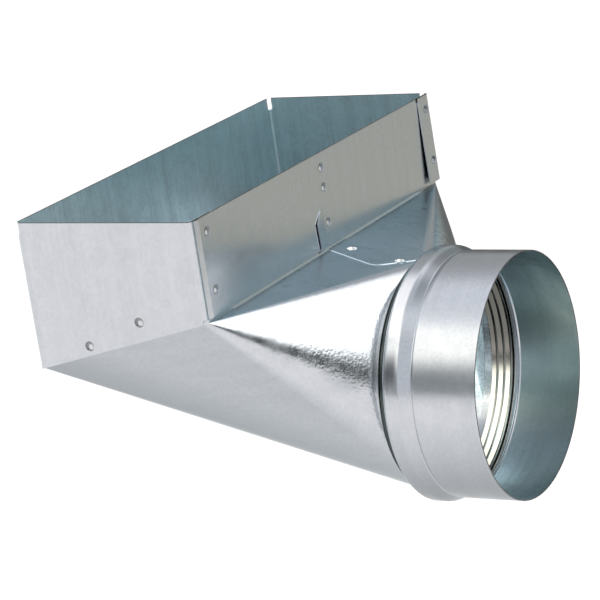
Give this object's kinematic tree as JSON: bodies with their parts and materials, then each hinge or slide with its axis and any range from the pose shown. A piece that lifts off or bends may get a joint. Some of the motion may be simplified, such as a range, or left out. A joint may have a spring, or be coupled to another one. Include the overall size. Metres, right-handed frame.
{
  "type": "register boot",
  "caption": "Sheet-metal register boot: a rectangular box mouth with a slanted foot tapers into a beaded round collar at right angles, joined by clinched laps.",
  "frame": {"origin": "middle of the rectangular mouth, in the plane of its rim", "axes": "+Z out of the mouth, +X the way the round collar points, Y along the mouth's long side"},
  "size_m": [0.2063, 0.255, 0.1839],
  "materials": {
    "galvanised_sheet": "zinc-coated sheet, faintly spangled, satin to bright"
  },
  "bodies": {
    "root": {"rear_frame": "galvanised_sheet", "front_panel": "galvanised_sheet", "taper": "galvanised_sheet", "collar": "galvanised_sheet"}
  },
  "joints": []
}
